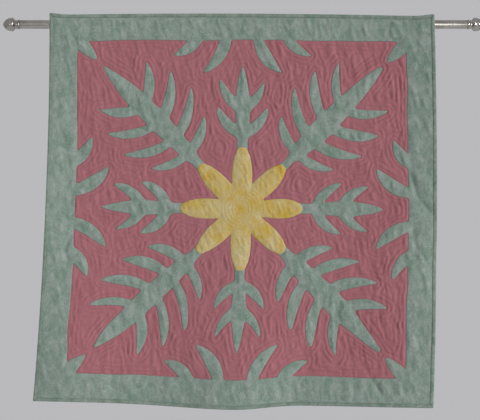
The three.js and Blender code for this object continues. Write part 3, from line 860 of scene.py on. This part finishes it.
def make_binding(side, quarter):
    """A folded strip over one edge, with mitred ends and the puckers of a sewn bias strip."""
    inset, height = np.array(BINDING_SECTION, float).T
    size = len(inset)
    rings = round(2 * EDGE / STRIP_STEP) + 1
    t = np.linspace(-1, 1, rings)[:, None]
    run = t * EDGE
    seed = STRIP_SEED + STRIP_SEED_STEP * quarter
    shows = np.arange(size) < SECTION_SHOWN
    waver = waves(STRIP_WAVER, run, 0 * run, seed)
    inset = inset + np.where(shows & (inset > SEWN_INSET), waver, 0)
    plump = waves(STRIP_PLUMP, run, 0 * run, seed) * np.sign(height + PANEL_THICKNESS / 2)
    height = height + np.where(shows & (np.abs(inset - PLUMP_INSET) < PLUMP_REACH), plump, 0)
    out = EDGE - inset
    along = t * (out - GAP)
    turn = quarter * math.pi / 2
    cos, sin = round(math.cos(turn)), round(math.sin(turn))
    across, up = along * cos - out * sin, along * sin + out * cos
    # Painted shade along the binding's inner fold, where it meets the cloth
    ditch = SEAM_SHADE * smoothstep(inset, *SEAM_SHADE_BEGINS)
    flat = flat_places(along, out, STRIP_LAYER + STRIP_LAYER_STEP * quarter)
    points, faces = hang(across, up, height).reshape(-1, 3), swept_faces(rings, size)
    name, node = f"binding_strip_{side}", f"binding_{side}"
    return add_piece(name, points, faces, BINDING_GREEN, [node], flat, ditch)


# The sleeve's mesh, and how far in its stitched lines lie
TURN_STEPS, FALL_STEPS = 22, 16
FOLDS_INWARD = 0.5
SEAM_LINE, SEAM_LINE_WIDTH = 4, 1.2
HEM_LINE, HEM_LINE_WIDTH = 8, 3


def walked_along(points):
    """How far along a line each of its points lies."""
    return np.concatenate([[0], np.cumsum(np.hypot(*np.diff(points, axis=0).T))])


def sleeve_path():
    """The strip's middle line, seen along the rod: how far behind the rod's axis and how far above it."""
    middle = ROD_DIAMETER / 2 + GAP + SLEEVE_THICKNESS / 2
    turn = np.linspace(math.pi, -SLEEVE_TURN, TURN_STEPS)
    t = np.linspace(0, 1, FALL_STEPS)[1:]
    start = np.array([math.cos(SLEEVE_TURN), -math.sin(SLEEVE_TURN)]) * middle
    belly = np.array([SLEEVE_BELLY - SLEEVE_THICKNESS / 2, SLEEVE_FOOT / 2])
    foot = np.array([-middle, SLEEVE_FOOT])
    return np.concatenate([
        [(-middle, -SLEEVE_SEAM), (-middle, -SLEEVE_SEAM / 2)],
        np.stack([np.cos(turn), np.sin(turn)], -1) * middle,
        np.outer((1 - t) ** 2, start) + np.outer(2 * t * (1 - t), belly) + np.outer(t**2, foot),
        [(-middle, SLEEVE_FOOT - SLEEVE_SEAM / 2), (-middle, SLEEVE_FOOT - SLEEVE_SEAM)],
    ])


def make_sleeve():
    """The strip sewn to the back: over the rod, down behind it and back to its foot seam."""
    path = sleeve_path()
    heading = np.gradient(path, axis=0)
    normal = np.stack([heading[:, 1], -heading[:, 0]], -1) / np.hypot(*heading.T)[:, None]
    walked = walked_along(path)
    rings = round(SLEEVE_LENGTH / STRIP_STEP) + 1
    lengthwise = np.linspace(-SLEEVE_LENGTH / 2, SLEEVE_LENGTH / 2, rings)
    run, down = np.meshgrid(lengthwise, walked, indexing="ij")
    slack = smoothstep(down, *SLEEVE_SLACK) * smoothstep(walked[-1] - down, *FOOT_SLACK)
    folds = np.maximum(slack * waves(SLEEVE_FOLDS, run, down), -FOLDS_INWARD)[..., None]
    half = SLEEVE_THICKNESS / 2
    back, front = path + normal * (half + folds), path + normal * (folds - half)
    loop = np.concatenate([back, front[:, ::-1]], axis=1)
    run, down = (np.concatenate([a, a[:, ::-1]], axis=1).ravel() for a in (run, down))
    from_seam = np.minimum(down, walked[-1] - down)
    from_hem = SLEEVE_LENGTH / 2 - np.abs(run)
    seam_line = bell((from_seam - SEAM_LINE) / SEAM_LINE_WIDTH)
    hem_line = bell((from_hem - HEM_LINE) / HEM_LINE_WIDTH)
    points = np.column_stack([run, loop.reshape(-1, 2)]) * MM
    faces = [face[::-1] for face in swept_faces(rings, loop.shape[1])]
    # Painted shade along the sleeve's seam and hem lines
    flat, ditch = flat_places(run, down, SLEEVE_LAYER), np.maximum(seam_line, hem_line)
    node = ["hanging_sleeve"]
    return add_piece("sleeve_strip", points, faces, BINDING_GREEN, node, flat, ditch)


def turned_piece(name, profile, start, direction, node):
    """A piece turned round the rod's axis from a profile of distances along it and radii."""
    along, radius = np.array(profile, float).T[..., None]
    angle = np.arange(TURNED_SIDES) * 2 * math.pi / TURNED_SIDES
    x = start + direction * along + 0 * angle
    points = np.stack([x, radius * np.cos(angle), radius * np.sin(angle)], -1).reshape(-1, 3) * MM
    faces = [face[::-direction] for face in swept_faces(len(along), TURNED_SIDES)]
    return add_piece(name, points, faces, METAL, [node])


# The rod's ends: distance from the end, and how much less than the full radius
ROD_END = [(0, 1.0), (0, 0.4), (0.4, 0), (1.2, 0)]
ROD_RINGS, ROD_RING_INSET = 24, 20


def make_rod():
    length, radius = ROD_RIGHT - ROD_LEFT, ROD_DIAMETER / 2
    near = [(x, radius - less) for x, less in ROD_END]
    middle = [(x, radius) for x in np.linspace(ROD_RING_INSET, length - ROD_RING_INSET, ROD_RINGS)]
    far = [(length - x, radius - less) for x, less in reversed(ROD_END)]
    return turned_piece("rod_tube", near + middle + far, ROD_LEFT, 1, "rod")


def rounded(profile, steps=5):
    """A finer profile: a smooth curve through the given points."""
    points = np.array(profile, float)
    walked = walked_along(points)
    bends = np.gradient(points, walked, axis=0)
    t = np.linspace(0, 1, steps, endpoint=False)[:, None]
    spans = []
    for a, b, length, leaving, arriving in zip(points, points[1:], np.diff(walked), bends, bends[1:]):
        straight = (2 * t**3 - 3 * t**2 + 1) * a + (3 * t**2 - 2 * t**3) * b
        bent = (t**3 - 2 * t**2 + t) * leaving + (t**3 - t**2) * arriving
        spans.append(straight + length * bent)
    return np.concatenate(spans + [points[-1:]])


# The finials' profile: distance from the rod's end, and radius
FINIAL_SOCKET = [
    (GAP, 9.0), (GAP, 11.5), (0.8, 12.2), (2.6, 12.4), (3.4, 12.1),
    (4.0, 11.4), (4.6, 11.1), (5.4, 11.0), (10.8, 10.9), (11.2, 10.95),
]
FINIAL_BODY = [
    (11.5, 11.2), (12.8, 12.9), (14.8, 15.2), (16.4, 16.8), (17.8, 17.5),
    (19.0, 17.6), (20.2, 17.1), (21.2, 16.7), (24.0, 16.6), (28.0, 15.7),
    (33.0, 13.4), (37.5, 9.7), (40.8, 5.2), (42.2, 1.6), (42.5, 0.2),
]
FINIAL_PROFILE = FINIAL_SOCKET + rounded(FINIAL_BODY).tolist()


# A stitch's corners: shares of its half length and half width, and the height off the cloth
STITCH_CORNERS = [(-1, 0, 0.05), (0, -1, 0.3), (1, 0, 0.05), (0, 1, 0.3), (0, 0, 0.55), (0, 0, 0.02)]
STITCH_FACES = [[k, (k + 1) % 4, 4] for k in range(4)] + [[(k + 1) % 4, k, 5] for k in range(4)]
FRONTWARD, BACKWARD = 1, -1
BACK_STITCH_SUNK = 0.35
BACK_STITCH_HEIGHT = BACK_PUFF - PANEL_THICKNESS - BACK_STITCH_SUNK
SEAM_STITCH_RISE = 0.4
SEAM_STITCH_HEIGHT = PANEL_FRONT_Y + ROD_DIAMETER / 2 + GAP


def level_links(across, up, value):
    """Where the lines on which a value is nought cross a grid, and the next crossings to each one."""
    crossings, links = {}, {}
    below = sum(corners_of((value < 0).astype(int)))
    mixed = (below > 0) & (below < 4)

    def cross(p, q):
        a, b = value[p], value[q]
        if (a < 0) == (b < 0):
            return None
        t = a / (a - b)
        crossings[p, q] = (across[p] + (across[q] - across[p]) * t, up[p] + (up[q] - up[p]) * t)
        return p, q

    for i, j in zip(*(n.tolist() for n in np.nonzero(mixed))):
        corners = [(i, j), (i + 1, j), (i + 1, j + 1), (i, j + 1)]
        found = [cross(*sorted(side)) for side in zip(corners, corners[1:] + corners[:1])]
        found = [key for key in found if key]
        for a, b in zip(found[::2], found[1::2]):
            links.setdefault(a, []).append(b)
            links.setdefault(b, []).append(a)
    return crossings, links


def level_points(across, up, value, first):
    """Evenly spaced points, from a first distance on, along the lines where a value on a grid is nought."""
    crossings, links = level_links(across, up, value)
    seen = set()
    spaced = []
    for start in links:
        path = []
        key = start
        while key is not None and key not in seen:
            seen.add(key)
            path.append(crossings[key])
            key = next((n for n in links[key] if n not in seen), None)
        if len(path) < 3:
            continue
        line = np.array(path)
        walked = walked_along(line)
        stops = np.arange(first, walked[-1], STITCH_STEP)
        spaced += zip(*(np.interp(stops, walked, column) for column in line.T))
    return spaced


def quilting_places(first):
    """Middles of the running stitches along the lines of quilting, and which way each runs."""
    across, up = square_grid(FIELD_EDGE, FIELD_CELL)
    cell = across[1, 0] - across[0, 0]
    lines = quilting(across, up)
    places = []
    for level in np.arange(1, np.floor(lines.max() / ECHO_PITCH) + 1) * ECHO_PITCH:
        places += level_points(across, up, lines - level, first)
    places = np.array(places)
    spot = tuple(np.clip(np.round((places + FIELD_EDGE) / cell).astype(int), 0, len(across) - 1).T)
    slope = np.stack([gradient[spot] for gradient in np.gradient(lines, cell)], -1)
    slope /= np.maximum(np.hypot(*slope.T), LEAST_SLOPE)[:, None]
    return places, np.stack([-slope[:, 1], slope[:, 0]], -1)


def seam_places():
    """Middles of the upright stitches along the sleeve's foot seam, and which way each runs."""
    run = np.arange(SEAM_STEP - SLEEVE_LENGTH / 2, SLEEVE_LENGTH / 2, SEAM_STEP)
    run = run + waves(SEAM_RUN, run, 0 * run)
    foot = SLEEVE_FOOT - SLEEVE_SEAM + SEAM_STITCH_RISE + waves(SEAM_RISE, run, 0 * run)
    places = np.stack([run, foot], -1)
    return places, np.broadcast_to([0.0, 1.0], places.shape)


def behind_panel(across, up, height):
    """Places, in metres, from distances across and up from the rod and a height off the panel's front."""
    return np.stack([across, np.full_like(across, PANEL_FRONT_Y - height), up], -1) * MM


def make_stitches(name, slot, material, places, along, settle, height, way):
    """Short stitches that stand off the cloth to the front or, the other way, to the back."""
    aside = np.stack([along[:, 1], -along[:, 0]], -1)
    points, flat = [], []
    for share_along, share_aside, proud in STITCH_CORNERS:
        corner = places + along * share_along * STITCH_LENGTH / 2 + aside * share_aside * STITCH_HALF
        points.append(settle(*corner.T, height + way * proud))
        flat.append(flat_places(*corner.T, THREAD_LAYER))
    faces = np.array(STITCH_FACES)[:, ::way]
    faces = (np.arange(len(places))[:, None, None] * len(STITCH_CORNERS) + faces).reshape(-1, 3)
    points, flat = (np.stack(a, axis=1).reshape(-1, 3) for a in (points, flat))
    return add_piece(name, points, faces.tolist(), material, (), flat, np.zeros(len(points)))


field = make_field()
backing = make_backing()
green = {"front": green_front, "material": GREEN, "layer": LEAF_LAYER, "slot": "leaf_cloth"}
border_half = CLOTH_EDGE + BORDER_TUCK + BORDER_CELL
border = make_laid_cloth("border_leaves", "border_cloth", border_edge, border_half, BORDER_CELL, **green)
leaves = make_laid_cloth("centre_leaves", "leaf_cloth", centre_edge, FIELD_EDGE, LEAF_CELL, **green)
yellow = {"front": yellow_front, "material": YELLOW, "layer": FLOWER_LAYER, "slot": "flower_cloth"}
flower = make_laid_cloth(
    "yellow_flower", "flower_cloth", flower_edge, FLOWER_HALF, FLOWER_CELL, **yellow, lift=FLOWER_LIFT
)
bindings = [make_binding(side, quarter) for quarter, side in enumerate(("top", "left", "bottom", "right"))]
sleeve = make_sleeve()
field_places, back_places = quilting_places(STITCH_STEP / 2), quilting_places(STITCH_STEP)
stitches = make_stitches(
    "quilting_stitches", "field_cloth", PINK_THREAD, *field_places, settle=hang, height=0, way=FRONTWARD
)
back_stitches = make_stitches(
    "back_stitches", "field_cloth", PINK_THREAD, *back_places, hang, BACK_STITCH_HEIGHT, BACKWARD
)
seam_stitches = make_stitches(
    "seam_stitches", "binding_cloth", GREEN_THREAD, *seam_places(), behind_panel, SEAM_STITCH_HEIGHT, BACKWARD
)
rod = make_rod()
turned_piece("finial_knob_left", FINIAL_PROFILE, ROD_LEFT, -1, "finial_left")
turned_piece("finial_knob_right", FINIAL_PROFILE, ROD_RIGHT, 1, "finial_right")


# Floor and light, in metres
FLOOR_REACH, FLOOR_HEIGHT = 3.0, -1.9
SUN_SPREAD = 14
WARM, NEUTRAL = (1.0, 0.985, 0.96), (1.0, 0.99, 0.96)
GREENISH, COOL = (0.97, 1.0, 0.98), (0.97, 0.98, 1.0)
BACKDROP, BACKDROP_STRENGTH = (0.98, 0.97, 1.0), 0.5
LIGHT_BELOW, LIGHT_ABOVE = 0.315, 0.41


def add_floor():
    """A plain pale floor, far below the quilt."""
    mesh = bpy.data.meshes.new("floor")
    corners = ((-1, -1), (1, -1), (1, 1), (-1, 1))
    places = [(x * FLOOR_REACH, y * FLOOR_REACH, FLOOR_HEIGHT) for x, y in corners]
    mesh.from_pydata(places, [], [(0, 1, 2, 3)])
    material = bpy.data.materials.new("floor")
    nodes, set_up, add = node_tools(material)
    speckle = lumpy(add, add("TexCoord").outputs["Object"], scale=90.0, detail=3.0)
    tint = ramp(add, speckle, low=0.3, high=0.7, colours=((0.77, 0.77, 0.78), (0.80, 0.80, 0.81)))
    set_up(nodes["Principled BSDF"], {"Base Color": tint}, Roughness=0.9)
    mesh.materials.append(material)
    floor = add_object("floor", mesh)


def add_light(data, place, target, strength, colour):
    """A light at a place, turned to face another."""
    data.energy = strength
    data.color = colour
    light = add_object(data.name, data)
    light.location = place
    x, y, z = np.subtract(target, place)
    light.rotation_euler = (math.pi / 2 + math.atan2(z, math.hypot(x, y)), 0, math.atan2(-x, y))
    return light


def add_panel(name, place, target, size, power, colour, mirrored=True):
    """A panel of light that either shows as a gleam in the metal or lights the cloth."""
    data = bpy.data.lights.new(name, "AREA")
    data.shape = "RECTANGLE"
    data.size, data.size_y = size
    light = add_light(data, place, target, power, colour)
    light.visible_glossy = mirrored
    light.visible_diffuse = not mirrored


def add_sun(name, from_way, strength, mirrored):
    """Even light from far off, with soft shadows."""
    data = bpy.data.lights.new(name, "SUN")
    data.angle = math.radians(SUN_SPREAD)
    light = add_light(data, from_way, (0, 0, 0), strength, WARM)
    light.visible_glossy = mirrored


def add_world():
    """A plain pale surround that lights more from above than from below."""
    world = bpy.data.worlds.new("studio")
    nodes, set_up, add = node_tools(world)
    plain = set_up(nodes["Background"], Color=(*BACKDROP, 1), Strength=BACKDROP_STRENGTH)
    way = add("SeparateXYZ", {"Vector": add("TexCoord").outputs["Generated"]})
    strengths = {"From_Min": -1, "To_Min": LIGHT_BELOW, "To_Max": LIGHT_ABOVE}
    height = add("MapRange", {"Value": way.outputs["Z"]}, **strengths)
    soft = add("Background", {"Strength": height.outputs["Result"]}, Color=(*COOL, 1))
    seen = add("LightPath").outputs["Is Camera Ray"]
    sources = {"Fac": seen, 1: soft.outputs["Background"], 2: plain.outputs["Background"]}
    mix = add("MixShader", sources)
    set_up(nodes["World Output"], {"Surface": mix.outputs["Shader"]})
    SCENE.world = world


add_floor()
add_sun("key", from_way=(1.0, -0.62, 0.14), strength=2.5, mirrored=True)
add_sun("back", from_way=(-1.0, 0.46, 0.2), strength=3.0, mirrored=False)
add_panel("rod gleam", (0.71, -3.5, -0.4), (0.5, 0, 0), (0.34, 2.6), power=12, colour=GREENISH)
add_panel("rod sheen", (-0.94, -3.5, 0.87), (-0.53, 0, 0), (0.9, 0.9), power=0.7, colour=NEUTRAL)
add_panel("knob gleam", (-1.5, -3.5, -0.3), (-0.6, 0, 0), (0.8, 0.8), power=4, colour=GREENISH)
add_panel("fill", (-1.35, -1.25, 0.1), (-0.45, 0, -0.35), (0.6, 0.6), power=1.2, colour=COOL, mirrored=False)
add_world()
SCENE.view_settings.view_transform = "Standard"

# The camera looks straight at the quilt, where a pixel of its picture spans a size in millimetres
PICTURE_WIDTH = 480
PIXEL = 2.54
SENSOR_WIDTH = 36
CAMERA_ASIDE, CAMERA_DISTANCE, CAMERA_HEIGHT = -0.0033, 4.5, -0.473
camera = add_object("camera", bpy.data.cameras.new("camera"))
camera.location = (CAMERA_ASIDE, PANEL_FRONT_Y * MM - CAMERA_DISTANCE, CAMERA_HEIGHT)
camera.rotation_euler = (math.pi / 2, 0, 0)
camera.data.sensor_width = SENSOR_WIDTH
camera.data.lens = SENSOR_WIDTH * CAMERA_DISTANCE / (PICTURE_WIDTH * PIXEL * MM)
SCENE.camera = camera

bpy.context.view_layer.update()
